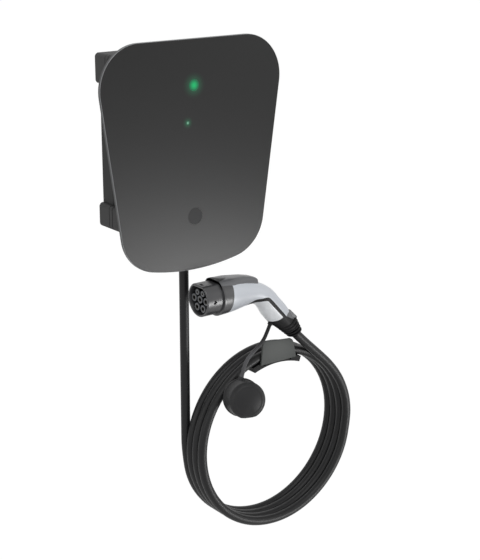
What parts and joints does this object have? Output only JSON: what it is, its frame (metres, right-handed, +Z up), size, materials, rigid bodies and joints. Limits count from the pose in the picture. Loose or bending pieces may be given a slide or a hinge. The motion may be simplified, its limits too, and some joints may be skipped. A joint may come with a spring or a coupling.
{
  "type": "ev wallbox",
  "caption": "Wall charging station for electric cars: box with flat front panel, fixed cable coiled on a wall hanger, and vehicle connector with tethered cap.",
  "frame": {"origin": "centre of the housing's four wall screw holes, in the plane of the wall", "axes": "+X to the right as seen from the front, +Y into the wall, +Z up"},
  "size_m": [0.4899, 0.1848, 0.862],
  "materials": {
    "housing_plastic": "fine-grained moulded plastic, dark grey",
    "panel_coat": "satin dark grey coat with a brighter bevelled edge",
    "seal_rubber": "soft black seal",
    "screw_steel": "zinc-plated steel",
    "green_lens": "lit green lens",
    "disc_plastic": "smooth dark disc",
    "board_green": "coated circuit board",
    "component_plastic": "moulded component bodies",
    "spacer_plastic": "natural nylon",
    "rail_steel": "zinc-plated rail",
    "device_plastic": "light grey device housings",
    "gland_plastic": "black moulded plastic",
    "cable_rubber": "smooth black sheath with a soft sheen",
    "core_insulation": "wire insulation",
    "hanger_plastic": "black moulded plastic",
    "lip_plastic": "dark grey moulded plastic",
    "connector_plastic": "dark grey moulded plastic",
    "insert_plastic": "black insulating plastic",
    "contact_silver": "silver-plated contacts",
    "handle_plastic": "light bluish grey, satin",
    "handle_rubber": "black soft grip",
    "clip_plastic": "light grey",
    "cap_rubber": "dark grey soft cap"
  },
  "bodies": {
    "root": {"rear_housing": "housing_plastic", "front_housing": "housing_plastic", "housing_seal": "seal_rubber", "housing_screws": "screw_steel", "front_panel": "panel_coat", "panel_grommets": "seal_rubber", "status_light": "green_lens", "small_light": "green_lens", "card_reader_disc": "disc_plastic", "led_board": "board_green", "card_reader_board": "board_green", "main_board": "board_green", "main_board_components": "component_plastic", "board_spacers": "spacer_plastic", "device_rail": "rail_steel", "rail_screws": "screw_steel", "contactor": "device_plastic", "leakage_monitor": "device_plastic", "energy_meter": "device_plastic", "supply_terminals": "device_plastic", "outlet_gland": "gland_plastic", "outlet_gland_dome": "gland_plastic", "outlet_gland_nut": "gland_plastic", "supply_gland": "gland_plastic", "supply_gland_dome": "gland_plastic", "supply_gland_nut": "gland_plastic", "vent_plug": "gland_plastic", "cable_sheath_end": "cable_rubber", "cable_cores": "core_insulation", "charging_cable_drop": "cable_rubber", "charging_cable_coil": "cable_rubber", "charging_cable_tail": "cable_rubber", "hanger_bracket": "hanger_plastic", "hanger_lip": "lip_plastic", "connector_nose": "connector_plastic", "contact_insert": "insert_plastic", "power_contacts": "contact_silver", "signal_contacts": "contact_silver", "connector_sleeve": "connector_plastic", "lock_cover": "connector_plastic", "handle_shell": "handle_plastic", "handle_stripe": "handle_rubber", "handle_inlay": "handle_plastic", "handle_end": "handle_rubber", "handle_clip": "clip_plastic", "strain_relief": "handle_rubber", "dust_cap": "cap_rubber", "cap_tether": "cap_rubber"}
  },
  "joints": []
}
